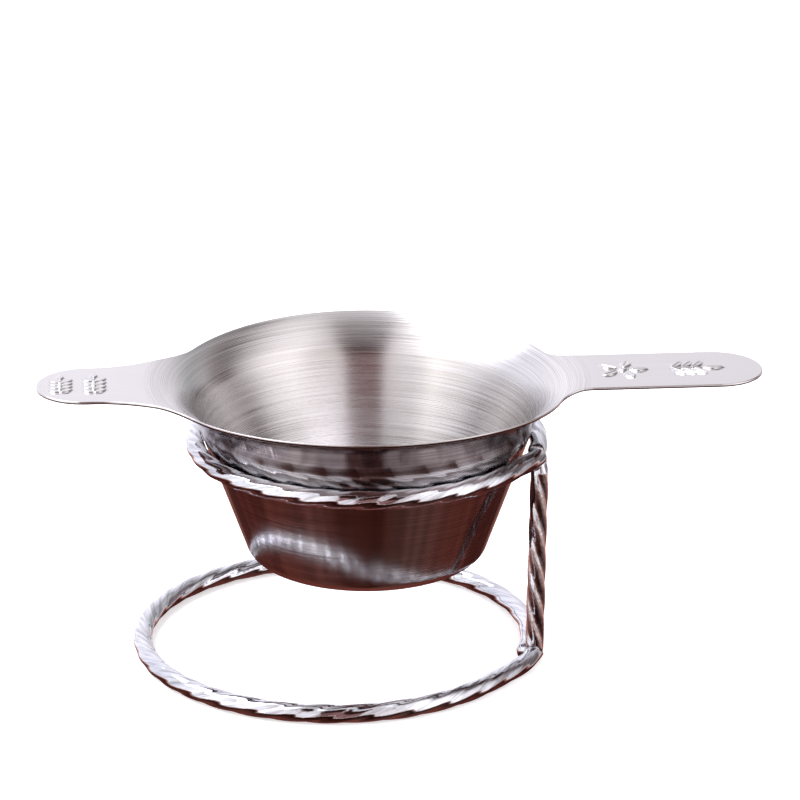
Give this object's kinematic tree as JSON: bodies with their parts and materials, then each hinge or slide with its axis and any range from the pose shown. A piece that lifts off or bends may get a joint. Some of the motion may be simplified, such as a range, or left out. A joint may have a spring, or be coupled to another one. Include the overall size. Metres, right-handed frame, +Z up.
{
  "type": "tea strainer",
  "caption": "Stainless tea strainer with a flared conical bowl and two flat ears, resting in a twisted-rod stand with a base ring, a post and a cradle ring.",
  "frame": {"origin": "on the table plane, half way between the two ear tips and on the strainer's own centre plane", "axes": "+X along the ears towards the long handle, +Z up, +Y away from the side that the post leans towards"},
  "size_m": [0.135, 0.0767, 0.054],
  "materials": {
    "bowl_steel": "fine brushed lines round the axis, satin",
    "mesh_steel": "drawn wire, satin",
    "rod_steel": "polished bright, slightly uneven facets",
    "weld_steel": "polished-over weld metal, slightly dull"
  },
  "bodies": {
    "stand": {"base_ring": "rod_steel", "post": "rod_steel", "cradle_ring": "rod_steel", "post_foot_weld": "weld_steel", "base_ring_end_weld": "weld_steel", "post_top_weld": "weld_steel", "cradle_seam_weld": "weld_steel"},
    "strainer": {"strainer_bowl": "bowl_steel", "backing_mesh": "mesh_steel", "fine_mesh": "mesh_steel", "mesh_clamp_ring": "bowl_steel"}
  },
  "joints": [
    {"name": "strainer_lift", "type": "slide", "parent": "stand", "child": "strainer", "axis": [0, 0, 1], "range_m": [0, 0.06]}
  ]
}
